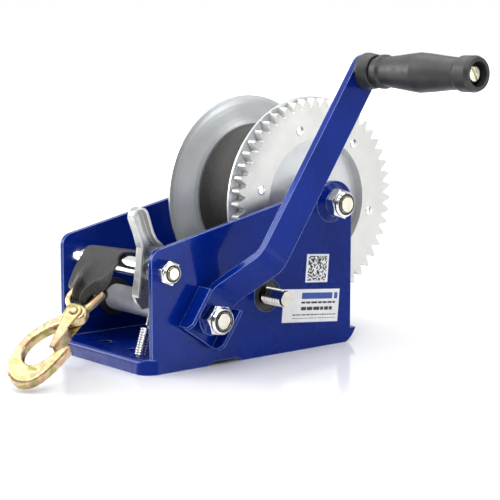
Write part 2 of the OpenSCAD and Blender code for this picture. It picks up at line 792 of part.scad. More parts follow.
// Rounds a closed outline by running a smooth curve through its points
function smooth(pts, steps) = let (n = len(pts))
    [for (i = [0 : n - 1], k = [0 : steps - 1])
        let (t = k / steps, a = pts[(i + n - 1) % n], b = pts[i], c = pts[(i + 1) % n], d = pts[(i + 2) % n])
        (2 * b + (c - a) * t + (2 * a - 5 * b + 4 * c - d) * t ^ 2 + (3 * b - a - 3 * c + d) * t ^ 3) / 2];

module hook_body() {
    edge = 1.2;
    ring_r = 12.2;
    hole_r = 7.7;
    ring_y = 13.2;
    limb_z = 1.5;                     // the eye is this much thinner than the hook on each face
    coil_r = 5.2;
    coil_seat = 2;
    outline = smooth(hook_edge, 3);
    color("palegoldenrod") in_hook() difference() {
        union() {
            translate([0, 0, edge - hook_t]) linear_extrude(hook_t - 2 * edge) polygon(outline);
            translate([0, 0, -hook_t]) linear_extrude(hook_t) offset(delta = -edge) polygon(outline);
            // Eye: a half ring with two limbs up to a round bar
            translate([0, 0, limb_z - hook_t]) linear_extrude(hook_t - 2 * limb_z) difference() {
                union() {
                    translate([eye_x, ring_y]) circle(ring_r);
                    translate([eye_x - ring_r, ring_y]) square([2 * ring_r, eye_y - ring_y]);
                }
                translate([eye_x, ring_y]) circle(hole_r);
                translate([eye_x - hole_r, ring_y]) square([2 * hole_r, 30]);
                translate([eye_x - ring_r, eye_y]) square([2 * ring_r, 30]);
            }
            translate([eye_x, eye_y, -hook_t / 2]) rotate([0, 90, 0])
                cylinder(r = eye_bar_r, h = 2 * ring_r, center = true);
            for (s = [-1, 1]) translate([eye_x + s * (ring_r + hole_r) / 2, eye_y, -hook_t / 2])
                rotate([0, 90, 0]) cylinder(r = hook_t / 2 - limb_z, h = ring_r - hole_r, center = true);
        }
        // Seats for the two coils of the latch spring, and the rivet hole
        for (z = [-hook_t, -coil_seat]) translate([0, 0, z - 0.001])
            cylinder(r = coil_r, h = coil_seat + 0.002);
        translate([0, 0, -hook_t - 1]) cylinder(r = hook_rivet_r, h = hook_t + 2);
    }
}

latch_gap = 0.4;
latch_t = 1.2;
hook_rivet_r = 2.5;

module hook_rivet() {
    reach = latch_gap + latch_t + 0.3;
    head_h = 0.9;
    color("goldenrod") in_hook() {
        translate([0, 0, -hook_t - reach]) cylinder(r = hook_rivet_r, h = hook_t + 2 * reach);
        for (z = [-hook_t - reach - head_h, reach]) translate([0, 0, z]) cylinder(r = 3.4, h = head_h);
    }
}

module latch_spring() {
    color("silver") in_hook() for (z = [-hook_t + 0.2, -1.6]) translate([0, 0, z]) difference() {
        cylinder(r = 4.6, h = 1.4);
        translate([0, 0, -1]) cylinder(r = hook_rivet_r, h = 4);
    }
}

// Sprung latch: two side plates joined by a web on the side of the hook's point
module hook_latch() {
    tip = [11, -33.5];
    heel = [7.5, -14.5];
    low = -hook_t - latch_gap - latch_t;
    color("khaki") in_hook() difference() {
        union() {
            for (z = [low, latch_gap]) translate([0, 0, z]) linear_extrude(latch_t) {
                circle(6.2);
                polygon([[-6, -1.5], [6.2, 0], heel, tip, tip - [3.4, 0.8]]);
            }
            translate([0, 0, low]) linear_extrude(hook_t + 2 * latch_gap + 2 * latch_t)
                polygon([heel + [1.2, 0], tip, tip - [1.3, 0], heel - [0.2, 0]]);
        }
        translate([0, 0, low - 1]) cylinder(r = hook_rivet_r + fit, h = hook_t + 8);
    }
}

// ---- Plain stickers on the near plate ----
module sticker(y, z, w, h, turn) {
    slab(half_w, 0.3) translate([y, z]) rotate(turn) square([w, h], center = true);
}

module rating_label() {
    color("white") sticker(58.5, 36, 62, 27.5, -5.5);
}

module code_label() {
    color("white") sticker(65.2, 66.6, 24.5, 23.5, -5);
}

frame();
axle_bolt();
axle_nut();
axle_sleeve();
shaft_bushes();
rod_bolt();
rod_sleeve();
rod_spacer();
rod_washers();
rod_nut();
pawl();
pawl_spring();
drum_core();
drum_bushes();
far_flange();
near_flange();
drum_gear();
gear_rivets();
strap_pin();
strap_pin_nut();
strap_roll();
strap_tail();
second_shaft();
first_gear();
second_ring();
front_shaft();
first_pinion();
ratchet_wheel();
front_ring();
shaft_spacer();
hub_bracket();
crank_arm();
hub_nut();
grip_bolt();
grip_nut();
grip_collar();
grip_sleeve();
hook_body();
hook_rivet();
latch_spring();
hook_latch();
rating_label();
code_label();
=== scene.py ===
"""Boat trailer winch: webbing, hook, springs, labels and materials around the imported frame."""
import math
import random

import bpy
from mathutils import Euler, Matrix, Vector


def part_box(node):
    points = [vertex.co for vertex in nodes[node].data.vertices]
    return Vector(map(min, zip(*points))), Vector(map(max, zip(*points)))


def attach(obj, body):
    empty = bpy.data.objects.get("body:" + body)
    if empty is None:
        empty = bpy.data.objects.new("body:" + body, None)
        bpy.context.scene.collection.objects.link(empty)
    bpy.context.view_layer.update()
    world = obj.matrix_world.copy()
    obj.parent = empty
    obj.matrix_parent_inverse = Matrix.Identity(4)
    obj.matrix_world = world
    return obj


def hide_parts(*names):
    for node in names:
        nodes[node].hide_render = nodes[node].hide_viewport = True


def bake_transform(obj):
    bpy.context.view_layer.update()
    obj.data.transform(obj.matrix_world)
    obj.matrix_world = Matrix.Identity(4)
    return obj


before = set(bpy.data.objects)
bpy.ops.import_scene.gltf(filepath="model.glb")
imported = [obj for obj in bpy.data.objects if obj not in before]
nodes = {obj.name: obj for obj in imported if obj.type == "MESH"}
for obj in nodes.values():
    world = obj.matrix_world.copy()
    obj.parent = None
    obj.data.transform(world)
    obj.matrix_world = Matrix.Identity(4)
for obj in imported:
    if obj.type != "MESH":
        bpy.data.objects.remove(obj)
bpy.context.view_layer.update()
scene = bpy.context.scene
MM = 0.001
WAVE_PERIOD = 0.314               # metres between the bands of a wave texture whose scale is 1


def aim(obj, target):
    """Points a camera or light at a place."""
    obj.rotation_euler = (Vector(target) - obj.location).to_track_quat("-Z", "Y").to_euler()


def add_camera():
    data = bpy.data.cameras.new("camera")
    data.lens = 107.4
    data.sensor_width = 36
    camera = bpy.data.objects.new("camera", data)
    scene.collection.objects.link(camera)
    camera.location = (0.9665, -0.7569, 0.2564)
    aim(camera, (-0.1712, 0.1879, 0.0447))
    scene.camera = camera


add_camera()


# ---- Mesh helpers ----
def add_piece(name, verts, faces, material, body=None, smooth=True, uvs=None):
    """Makes a mesh piece in metres; uvs has one UV for each corner of each face."""
    mesh = bpy.data.meshes.new(name)
    mesh.from_pydata([tuple(v) for v in verts], [], faces)
    mesh.polygons.foreach_set("use_smooth", [smooth] * len(faces))
    if uvs:
        layer = mesh.uv_layers.new(name="UVMap")
        for corner, uv in zip(layer.data, uvs):
            corner.uv = uv
    piece = bpy.data.objects.new(name, mesh)
    scene.collection.objects.link(piece)
    mesh.materials.append(material)
    if body:
        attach(piece, body)
    return piece


def settle(piece):
    """Applies a piece's modifiers to its mesh."""
    graph = bpy.context.evaluated_depsgraph_get()
    mesh = bpy.data.meshes.new_from_object(piece.evaluated_get(graph))
    piece.modifiers.clear()
    piece.data = mesh
    mesh.polygons.foreach_set("use_smooth", [True] * len(mesh.polygons))


def spline(points, steps):
    """A smooth curve through points, with steps places in each stretch."""
    out = []
    last = len(points) - 1
    for i in range(last):
        a, b, c, d = (Vector(points[k]) for k in (max(i - 1, 0), i, i + 1, min(i + 2, last)))
        for k in range(steps):
            t = k / steps
            out.append((2 * b + (c - a) * t + (2 * a - 5 * b + 4 * c - d) * t * t
                        + (3 * b - a - 3 * c + d) * t ** 3) / 2)
    out.append(Vector(points[last]))
    return out


def wire(path, radius, sides):
    """Vertices and faces of a round wire along a path, closed at both ends."""
    verts = []
    faces = []
    side = None
    count = len(path)
    for i, point in enumerate(path):
        along = (path[min(i + 1, count - 1)] - path[max(i - 1, 0)]).normalized()
        if side is None:
            side = along.orthogonal().normalized()
        side = (side - along * side.dot(along)).normalized()
        other = along.cross(side)
        for k in range(sides):
            turn = math.tau * k / sides
            verts.append(point + (side * math.cos(turn) + other * math.sin(turn)) * radius)
    for i in range(count - 1):
        for k in range(sides):
            low = i * sides
            faces.append((low + k, low + (k + 1) % sides, low + sides + (k + 1) % sides, low + sides + k))
    faces.append(tuple(range(sides - 1, -1, -1)))
    faces.append(tuple(range((count - 1) * sides, count * sides)))
    return verts, faces


def turned(centre, outline, turns):
    """Vertices and faces of a ring about an axis along X, from a closed outline of (radius, x)."""
    verts = []
    faces = []
    count = len(outline)
    for i in range(turns):
        angle = math.tau * i / turns
        for radius, x in outline:
            y = centre[0] + radius * math.cos(angle)
            z = centre[1] + radius * math.sin(angle)
            verts.append(Vector((x, y, z)))
    for i in range(turns):
        ring = i * count
        following = (i + 1) % turns * count
        for k in range(count):
            after = (k + 1) % count
            faces.append((ring + k, following + k, following + after, ring + after))
    return verts, faces


def box_mm(node):
    """The lowest and highest corners of a node, to 0.001 mm: its mesh is in single precision."""
    return [Vector([round(value, 3) for value in corner / MM]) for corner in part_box(node)]


def middle(node):
    low, high = box_mm(node)
    return (low + high) / 2 * MM


def radius_of(node):
    """Radius of a round node that lies along X."""
    low, high = box_mm(node)
    return (high.z - low.z) / 2 * MM


# ---- Node materials ----
class Look:
    """One procedural material on a Principled shader; lengths are in metres."""

    def __init__(self, name, **values):
        self.material = bpy.data.materials.new(name)
        self.material.use_nodes = True
        self.tree = self.material.node_tree
        self.shader = self.tree.nodes["Principled BSDF"]
        for key, value in values.items():
            self.shader.inputs[key.replace("_", " ")].default_value = value
        self.coordinates = self.tree.nodes.new("ShaderNodeTexCoord")

    def node(self, kind, inputs=None, **settings):
        made = self.tree.nodes.new(kind)
        for key, value in settings.items():
            setattr(made, key, value)
        for key, value in (inputs or {}).items():
            if isinstance(value, bpy.types.NodeSocket):
                self.tree.links.new(value, made.inputs[key])
            else:
                made.inputs[key].default_value = value
        return made

    def place(self, stretch=(1, 1, 1), turn=(0, 0, 0), source="Object"):
        """Object coordinates, or UV, scaled and turned."""
        inputs = {"Vector": self.coordinates.outputs[source], "Scale": stretch, "Rotation": turn}
        return self.node("ShaderNodeMapping", inputs).outputs["Vector"]

    def noise(self, size, detail=3.0, warp=0.0, place=None):
        """Cloudy pattern whose patches are about size metres across."""
        inputs = {"Vector": place or self.place(), "Scale": 1 / size, "Detail": detail, "Distortion": warp}
        return self.node("ShaderNodeTexNoise", inputs).outputs["Fac"]

    def ramp(self, value, *stops):
        """Colour or grey by value; each stop is (position, colour)."""
        ramp = self.node("ShaderNodeValToRGB", {"Fac": value})
        elements = ramp.color_ramp.elements
        while len(elements) < len(stops):
            elements.new(0.5)
        for element, (position, colour) in zip(elements, stops):
            element.position = position
            element.color = (*colour, 1) if hasattr(colour, "__len__") else (colour, colour, colour, 1)
        return ramp.outputs["Color"]

    def mix(self, factor, first, second):
        """The first colour, or the second where factor is 1."""
        def colour(value):
            return (*value, 1) if isinstance(value, tuple) else value
        inputs = {"Fac": factor, "Color1": colour(first), "Color2": colour(second)}
        return self.node("ShaderNodeMixRGB", inputs).outputs["Color"]

    def math(self, operation, first, second=0.0):
        return self.node("ShaderNodeMath", {0: first, 1: second}, operation=operation).outputs["Value"]

    def bands(self, size, place, phase=0.0):
        """Even bands across X, size metres apart."""
        inputs = {"Vector": place, "Scale": WAVE_PERIOD / size, "Phase Offset": phase}
        return self.node("ShaderNodeTexWave", inputs, wave_type="BANDS", bands_direction="X").outputs["Fac"]

    def rounding(self, radius):
        """Normal that rounds sharp edges, and a mask that is 1 on them."""
        bevel = self.node("ShaderNodeBevel", {"Radius": radius}, samples=6).outputs["Normal"]
        true = self.node("ShaderNodeNewGeometry").outputs["Normal"]
        facing = self.node("ShaderNodeVectorMath", {0: bevel, 1: true}, operation="DOT_PRODUCT")
        return bevel, self.ramp(facing.outputs["Value"], (0.80, 1.0), (0.985, 0.0))

    def bump(self, height, depth, normal=None):
        inputs = {"Height": height, "Distance": depth, "Strength": 1.0}
        if normal:
            inputs["Normal"] = normal
        return self.node("ShaderNodeBump", inputs).outputs["Normal"]

    def set(self, **sockets):
        for key, socket in sockets.items():
            self.tree.links.new(socket, self.shader.inputs[key.replace("_", " ")])
        return self.material


def blue_paint():
    """Glossy powder coat: orange peel, a painted highlight on the thin edges and fine scratches."""
    look = Look("blue_paint", Coat_Weight=0.20, Coat_Roughness=0.04, Specular_IOR_Level=0.25,
                Specular_Tint=(0.12, 0.30, 1.0, 1.0))
    smooth, edge = look.rounding(0.0009)
    cloud = look.noise(0.05, 4)
    colour = look.ramp(cloud, (0.3, (0.0003, 0.010, 0.15)), (0.7, (0.0006, 0.018, 0.23)))
    # Painted highlight: light blue along the thin edges
    colour = look.mix(edge, colour, (0.40, 0.55, 1.0))
    scratch = look.noise(0.004, 2, 0.0, look.place((0.12, 1, 2.2), (0.3, 0.2, 0.7)))
    scratch = look.ramp(scratch, (0.70, 0.0), (0.76, 1.0))
    colour = look.mix(look.math("MULTIPLY", scratch, 0.10), colour, (0.25, 0.35, 0.6))
    peel = look.noise(0.0016, 2)
    rough = look.ramp(look.noise(0.02, 5), (0.35, 0.20), (0.75, 0.34))
    return look.set(Base_Color=colour, Roughness=rough, Normal=look.bump(peel, 0.00006, smooth),
                    Coat_Normal=look.bump(peel, 0.00003, smooth))


def plated(name, light, dark, rough=(0.18, 0.34), grain=0.0006, tint=(0.80, 0.78, 0.70), edge_size=0.0004,
           spotting=0.3, metallic=1.0, pitch=0.0):
    """Zinc-plated steel: mottled passivation, rolling grain and a painted highlight along the edges; a pitch
    gives it painted shade in the roots of a thread along X."""
    look = Look(name, Metallic=metallic)
    smooth, edge = look.rounding(edge_size)
    cloud = look.noise(0.02, 4, 0.4)
    colour = look.ramp(cloud, (0.25, dark), (0.60, light))
    colour = look.mix(look.ramp(look.noise(0.04, 3, 0.8), (0.45, 0.0), (0.80, 0.4)), colour, tint)
    spots = look.ramp(look.noise(0.0022, 4), (0.66, 0.0), (0.80, spotting))
    colour = look.mix(spots, colour, tuple(0.7 * c for c in dark))
    # Painted highlight: the edges, and narrow faces the edge mask covers, are lightened
    colour = look.mix(look.math("MULTIPLY", edge, 0.6), colour, (0.93, 0.93, 0.92))
    if pitch:
        # Painted shade: the phase puts the dark bands on the roots of the thread
        root_shade = look.bands(pitch, look.place(), -1.5 * math.pi)
        colour = look.mix(look.ramp(root_shade, (0.15, 1.0), (0.55, 0.0)), colour, (0.05, 0.045, 0.03))
    lines = look.noise(grain, 3, 0.0, look.place((0.25, 1, 1)))
    wear = look.ramp(look.noise(0.008, 6), (0.3, rough[0]), (0.7, rough[1]))
    return look.set(Base_Color=colour, Roughness=wear, Normal=look.bump(lines, 0.00003, smooth))


def gold_zinc():
    """Yellow chromate: cream gold drifting to rose, green and olive, with painted shade darkening the rounded
    edges.
    """
    look = Look("gold_zinc", Metallic=1.0)
    smooth, edge = look.rounding(0.0024)
    film = look.noise(0.016, 3, 1.5)
    olive = (0.28, 0.27, 0.10)
    straw = (0.52, 0.42, 0.19)
    cream = (0.64, 0.52, 0.31)
    rose = (0.60, 0.37, 0.24)
    green = (0.33, 0.32, 0.14)
    colour = look.ramp(film, (0.30, olive), (0.42, straw), (0.52, cream), (0.62, rose), (0.72, green))
    # Painted shade: the rounded edges darkened to a dark olive
    colour = look.mix(look.math("MULTIPLY", edge, 0.75), colour, (0.16, 0.13, 0.03))
    pits = look.ramp(look.noise(0.0016, 4), (0.62, 0.0), (0.76, 0.5))
    colour = look.mix(pits, colour, (0.30, 0.26, 0.12))
    forge = look.noise(0.0028, 4)
    rough = look.ramp(look.noise(0.006, 5), (0.3, 0.24), (0.7, 0.36))
    return look.set(Base_Color=colour, Roughness=rough, Normal=look.bump(forge, 0.00012, smooth))


def moulded(name, colour, rough, grain=0.0005, depth=0.00003):
    """Moulded plastic: fine spark grain, dull scuffs, paler rubbed edges."""
    look = Look(name)
    smooth, edge = look.rounding(0.0005)
    dull = tuple(min(1.0, c * 1.6 + 0.01) for c in colour)
    shade = look.ramp(look.noise(0.02, 4), (0.3, colour), (0.75, dull))
    rubbed = tuple(min(1.0, c * 2.5 + 0.03) for c in colour)
    shade = look.mix(look.math("MULTIPLY", edge, 0.35), shade, rubbed)
    scuff = look.ramp(look.noise(0.006, 5, 0.3), (0.35, rough), (0.75, min(1.0, rough + 0.18)))
    return look.set(Base_Color=shade, Roughness=scuff, Normal=look.bump(look.noise(grain, 3), depth, smooth))


def webbing():
    """Polyester webbing: twill ridges in UV metres, rib lines along it, fuzz, dust and painted shade low in
    the weave.
    """
    look = Look("webbing", Sheen_Weight=0.06, Sheen_Roughness=0.4, Specular_IOR_Level=0.3)
    flat = look.place(source="UV")
    wobble = look.noise(0.004, 2, 0.0, flat)
    offset = look.node("ShaderNodeCombineXYZ", {"X": wobble, "Y": wobble}).outputs["Vector"]
    shifted = look.mix(0.0015, flat, offset)

    def yarns(size, degrees):
        inputs = {"Vector": shifted, "Rotation": (0, 0, math.radians(degrees))}
        return look.bands(size, look.node("ShaderNodeMapping", inputs).outputs["Vector"])

    twill = yarns(0.0011, 62)
    weft = yarns(0.0008, 90)
    ribs = yarns(0.0023, 0)
    height = look.math("ADD", look.math("MULTIPLY", twill, 0.5), look.math("MULTIPLY", weft, 0.25))
    height = look.math("ADD", height, look.math("MULTIPLY", ribs, 0.45))
    fuzz = look.noise(0.0004, 4)
    height = look.math("ADD", height, look.math("MULTIPLY", fuzz, 0.35))
    # Painted shade: darker where the weave is low, lighter on its high yarns
    shade = look.ramp(height, (0.25, (0.003, 0.003, 0.003)), (0.7, (0.014, 0.013, 0.012)),
                      (1.0, (0.040, 0.037, 0.034)))
    dust = look.ramp(look.noise(0.018, 5), (0.45, 0.0), (0.8, 0.2))
    shade = look.mix(dust, shade, (0.050, 0.045, 0.040))
    rough = look.ramp(height, (0.2, 0.62), (1.0, 0.40))
    return look.set(Base_Color=shade, Roughness=rough, Normal=look.bump(height, 0.00022))


def paper():
    """Glossy white vinyl with faint print rollers' marks and lightly soiled patches."""
    look = Look("vinyl", Coat_Weight=0.3, Coat_Roughness=0.12)
    shade = look.ramp(look.noise(0.012, 5), (0.35, (0.80, 0.81, 0.83)), (0.65, (0.90, 0.90, 0.90)))
    rough = look.ramp(look.noise(0.004, 4), (0.3, 0.28), (0.7, 0.42))
    return look.set(Base_Color=shade, Roughness=rough, Normal=look.bump(look.noise(0.002, 2), 0.00003))


def ink(name, colour):
    """Flat print, a little uneven in tone and gloss."""
    look = Look(name)
    shade = look.ramp(look.noise(0.0015, 4), (0.3, colour), (0.8, tuple(c * 1.5 + 0.01 for c in colour)))
    rough = look.ramp(look.noise(0.003, 3), (0.3, 0.35), (0.7, 0.5))
    return look.set(Base_Color=shade, Roughness=rough, Normal=look.bump(look.noise(0.0004, 2), 0.00001))


paint = blue_paint()
zinc = plated("zinc", (0.78, 0.79, 0.80), (0.56, 0.58, 0.61))
flange_zinc = plated("flange_zinc", (0.70, 0.72, 0.73), (0.62, 0.65, 0.68), rough=(0.30, 0.36), grain=0.0012,
                     tint=(0.66, 0.68, 0.62), spotting=0.12, metallic=0.6)
gear_zinc = plated("gear_zinc", (0.72, 0.72, 0.70), (0.66, 0.66, 0.64), rough=(0.42, 0.50), grain=0.0007,
                   tint=(0.74, 0.72, 0.66), edge_size=0.0005, spotting=0.10)
pawl_zinc = plated("pawl_zinc", (0.58, 0.59, 0.58), (0.36, 0.37, 0.37), rough=(0.26, 0.40), grain=0.0010,
                   tint=(0.50, 0.50, 0.47), edge_size=0.0014, spotting=0.9, metallic=0.8)
bright_zinc = plated("bright_zinc", (0.90, 0.90, 0.90), (0.70, 0.71, 0.73), rough=(0.10, 0.22), grain=0.0005,
                     tint=(0.88, 0.86, 0.80), edge_size=0.0006)
shaft_steel = plated("shaft_steel", (0.86, 0.86, 0.86), (0.50, 0.50, 0.50), rough=(0.40, 0.6), grain=0.0004,
                     tint=(0.74, 0.74, 0.72), spotting=0.9, metallic=0.3)
stub_zinc = plated("stub_zinc", (0.84, 0.82, 0.74), (0.40, 0.39, 0.34), rough=(0.10, 0.20), grain=0.0004,
                   tint=(0.80, 0.76, 0.60), edge_size=0.00008, spotting=0.5, pitch=0.002)
dark_steel = plated("dark_steel", (0.20, 0.19, 0.18), (0.09, 0.09, 0.09), rough=(0.35, 0.5), grain=0.0004,
                    tint=(0.22, 0.18, 0.14))
cream_zinc = plated("cream_zinc", (0.88, 0.84, 0.70), (0.70, 0.64, 0.48), rough=(0.16, 0.30), grain=0.0005,
                    tint=(0.90, 0.84, 0.62), edge_size=0.0005)
gold = gold_zinc()
grip_black = moulded("grip_black", (0.012, 0.012, 0.012), 0.36, 0.0007, 0.00004)
bush_black = moulded("bush_black", (0.010, 0.010, 0.011), 0.42)
insert_dark = moulded("insert_nylon", (0.010, 0.010, 0.012), 0.40, 0.0004)
white_nylon = moulded("white_nylon", (0.72, 0.70, 0.62), 0.40, 0.0006)
strap = webbing()
vinyl = paper()
black_ink = ink("black_ink", (0.012, 0.012, 0.014))
blue_ink = ink("blue_ink", (0.015, 0.06, 0.30))

LOOKS = {
    "frame": paint, "crank_arm": paint,
    "axle_bolt": cream_zinc, "axle_nut": bright_zinc, "axle_sleeve": zinc, "shaft_bushes": bush_black,
    "rod_bolt": cream_zinc, "rod_sleeve": bright_zinc, "rod_spacer": zinc, "rod_washers": bright_zinc,
    "rod_nut": bright_zinc, "pawl": pawl_zinc,
    "drum_core": zinc, "drum_bushes": white_nylon, "far_flange": flange_zinc, "near_flange": flange_zinc,
    "drum_gear": gear_zinc, "gear_rivets": bright_zinc, "strap_pin": zinc, "strap_pin_nut": zinc,
    "second_shaft": stub_zinc, "first_gear": shaft_steel, "second_ring": dark_steel,
    "front_shaft": stub_zinc, "shaft_spacer": shaft_steel, "first_pinion": shaft_steel,
    "ratchet_wheel": shaft_steel,
    "front_ring": dark_steel, "hub_bracket": paint, "hub_nut": bright_zinc,
    "grip_bolt": cream_zinc, "grip_nut": bright_zinc, "grip_collar": grip_black, "grip_sleeve": grip_black,
    "hook_body": gold, "hook_rivet": gold, "hook_latch": gold, "latch_spring": zinc,
    "rating_label": vinyl, "code_label": vinyl, "pawl_spring": bright_zinc,
    "strap_roll": strap, "strap_tail": strap,
}
for node_name, material in LOOKS.items():
    mesh = nodes[node_name].data
    mesh.materials.clear()
    mesh.materials.append(material)


# ---- Free end of the webbing: from under the roll, over the rod and through the hook's eye ----
ROLL_LOW, ROLL_HIGH = box_mm("strap_roll")
AXLE = middle("strap_roll")
ROD = middle("rod_sleeve")
STRAP_X = (ROLL_LOW.x + ROLL_HIGH.x) / 2 * MM
STRAP_WIDTH = (ROLL_HIGH.x - ROLL_LOW.x) * MM
ROLL_RADIUS = radius_of("strap_roll")
CORE_RADIUS = radius_of("drum_core")
ROD_LINE = radius_of("rod_sleeve") + 1.8 * MM       # middle of the webbing round the rod's sleeve
ROLL_LINE = ROLL_RADIUS + 1.6 * MM                  # middle of the webbing under the roll
HOOK_AT = Vector((41, -159, 53.5)) * MM
HOOK_TURN = Euler((math.radians(39), math.radians(20), math.radians(15))).to_matrix()


def on_hook(x, y, z):
    """A place given in the hook's own frame."""
    return HOOK_AT + HOOK_TURN @ Vector((x, y, z))


def around(centre, radius, angle):
    """A place at an angle round an axis along X, at the webbing's middle."""
    turn = math.radians(angle)
    return Vector((STRAP_X, centre.y + radius * math.cos(turn), centre.z + radius * math.sin(turn)))


def level_row(centre, width, thick=2.0, fold=0.0):
    """A row of the webbing along X: its two edges, its thickness, how deep its folds are and where across it
    the first fold has its crest."""
    half = Vector((width / 2, 0, 0))
    crest = 0.45
    return [centre - half, centre + half, thick * MM, fold * MM, crest]


def hook_row(centre, width, lean=0.0, fold=0.0, crest=0.2):
    """A row of the webbing across the hook, in the hook's own frame, its right edge higher by lean."""
    x, y, z = centre
    left = on_hook((x - width / 2) * MM, (y - lean / 2) * MM, z * MM)
    right = on_hook((x + width / 2) * MM, (y + lean / 2) * MM, z * MM)
    return [left, right, 2.4 * MM, fold * MM, crest]


def free_row(left, right, fold, crest):
    """A row of the webbing between two edges given in mm."""
    return [Vector(left) * MM, Vector(right) * MM, 2.0 * MM, fold * MM, crest]


def strap_rows():
    """Rows along the webbing, from under the roll over the rod, through the hook's eye and back up behind."""
    between = math.hypot(AXLE.y - ROD.y, AXLE.z - ROD.z)
    slope = math.degrees(math.atan2(AXLE.z - ROD.z, AXLE.y - ROD.y)
                         - math.asin((ROD_LINE + ROLL_LINE) / between))
    rows = [level_row(around(AXLE, ROLL_LINE, slope - back), STRAP_WIDTH, thick)
            for back, thick in ((50, 1.2), (64, 1.2), (77, 2.0), (90, 2.0))]
    start = around(AXLE, ROLL_LINE, slope - 90)
    end = around(ROD, ROD_LINE, slope + 90)
    rows += [level_row(start.lerp(end, t), STRAP_WIDTH) for t in (0.25, 0.5, 0.75, 0.95)]
    rows += [level_row(around(ROD, ROD_LINE, angle), STRAP_WIDTH, 2.0, fold)
             for angle, fold in ((100, 0), (122, 0.2), (142, 0.5))]
    # Down to the eye, gathering into folds
    rows += [free_row((-37, -103, 79.5), (17, -102, 81), fold=1.2, crest=0.44),
             free_row((-27, -116, 74.5), (24, -110, 77), fold=2.8, crest=0.40),
             free_row((-7, -133, 71), (31, -119, 72), fold=4.4, crest=0.33)]
    # Through the eye and round its bar
    rows += [hook_row((-8.5, 24.5, 1.6), width=23, lean=5, fold=4.4, crest=0.24),
             hook_row((-7, 17.5, 2.8), width=15.5, lean=3, fold=2.4, crest=0.18),
             hook_row((-6.2, 11.6, -0.8), width=13.2, lean=1, fold=1.0),
             hook_row((-6, 11.6, -9.2), width=13.2, fold=0.3),
             hook_row((-6, 18, -14.2), width=13.6),
             hook_row((-7, 26, -15.5), width=15),
             hook_row((-11, 33, -18.8), width=19, fold=0.6)]
    # Back up behind the first layer
    rows += [free_row((-3, -125, 66), (21, -117, 67), fold=0.6, crest=0.4),
             free_row((-22, -114, 70), (15, -108.5, 72), fold=0.3, crest=0.4),
             free_row((-31, -107, 73.5), (12, -104, 75.5), fold=0, crest=0.4)]
    return rows


def folded_surface(lefts, rights, middles, shapes, columns):
    """Rows of points across the webbing, waved where it is gathered and lower at its edges."""
    surface = []
    last = len(middles) - 1
    for i, (_, fold, crest) in enumerate(shapes):
        along = (middles[min(i + 1, last)] - middles[max(i - 1, 0)]).normalized()
        out = along.cross(rights[i] - lefts[i]).normalized()
        row = []
        for k in range(columns + 1):
            t = k / columns
            from_crest = math.tau * (t - crest)
            wave = math.cos(1.7 * from_crest) + 0.25 * math.cos(3.3 * from_crest + 0.6)
            drop = (2 * t - 1) ** 2
            row.append(lefts[i].lerp(rights[i], t) + out * fold * (0.9 * wave - 0.8 * drop))
        surface.append(row)
    return surface


def thickened(surface, shapes, columns):
    """Top and bottom points of the webbing, with its thicker selvedges and rounded edges."""
    top, bottom = [], []
    last = len(surface) - 1
    selvedge_at = 1.6 * MM
    rounded_over = 0.9 * MM
    for i, row in enumerate(surface):
        for k, here in enumerate(row):
            t = k / columns
            along = surface[min(i + 1, last)][k] - surface[max(i - 1, 0)][k]
            across = row[min(k + 1, columns)] - row[max(k - 1, 0)]
            out = along.cross(across).normalized()
            edge = min(t, 1 - t) * STRAP_WIDTH
            selvedge = 1.0 + 0.14 * math.exp(-((edge - selvedge_at) / rounded_over) ** 2)
            rounding = min(1.0, 0.45 + edge / rounded_over)
            half = 0.5 * shapes[i][0] * selvedge * rounding
            top.append(here + out * half)
            bottom.append(here - out * half)
    return top, bottom


def strip_faces(lengths, columns):
    """Faces of the closed strip and their UVs in metres: across it, and along it by lengths."""
    count = len(lengths)
    wide = columns + 1
    under = count * wide
    faces, uvs = [], []

    def uv(index):
        index %= under
        return ((index % wide) / columns * STRAP_WIDTH, lengths[index // wide])

    def quad(*corners):
        faces.append(corners)
        uvs.extend(uv(c) for c in corners)

    for i in range(count - 1):
        for k in range(columns):
            low = i * wide + k
            quad(low, low + wide, low + wide + 1, low + 1)
            quad(under + low, under + low + 1, under + low + wide + 1, under + low + wide)
        for low, flip in ((i * wide, False), (i * wide + columns, True)):
            side = (low, under + low, under + low + wide, low + wide)
            quad(*(side[::-1] if flip else side))
    for k in range(columns):
        last = (count - 1) * wide
        quad(k, k + 1, under + k + 1, under + k)
        quad(last + k, under + last + k, under + last + k + 1, last + k + 1)
    return faces, uvs


def add_strap_tail():
    """The webbing from the roll to the hook, as one closed strip."""
    rows = strap_rows()
    steps = 6
    columns = 64
    lefts = spline([row[0] for row in rows], steps)
    rights = spline([row[1] for row in rows], steps)
    shapes = spline([Vector(row[2:]) for row in rows], steps)
    middles = [(left + right) / 2 for left, right in zip(lefts, rights)]
    lengths = [0.0]
    for before, after in zip(middles, middles[1:]):
        lengths.append(lengths[-1] + (after - before).length)
    top, bottom = thickened(folded_surface(lefts, rights, middles, shapes, columns), shapes, columns)
    faces, uvs = strip_faces(lengths, columns)
    tail = add_piece("webbing_tail", top + bottom, faces, strap, uvs=uvs)
    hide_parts("strap_tail")
    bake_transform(tail)


add_strap_tail()


def turn_outline(inner, outer):
    """Section of one turn of webbing as (radius, x): rounded edges and slightly raised selvedges."""
    half = STRAP_WIDTH / 2 - 0.3 * MM
    soft = 0.55 * MM
    ribs = 24
    first = 1.2 * MM - half
    step = (2 * half - 2.4 * MM) / ribs
    outline = [(outer - soft, -half), (outer - 0.15 * MM, -half + soft * 0.6)]
    for k in range(ribs + 1):
        x = first + k * step
        raised = 0.10 * MM * math.exp(-((abs(x) - half + 2 * MM) / (1.1 * MM)) ** 2)
        outline.append((outer + raised, x))
    return outline + [(outer - 0.15 * MM, half - soft * 0.6), (outer - soft, half), (inner + soft, half),
                      (inner, half - soft), (inner, -half + soft), (inner + soft, -half)]


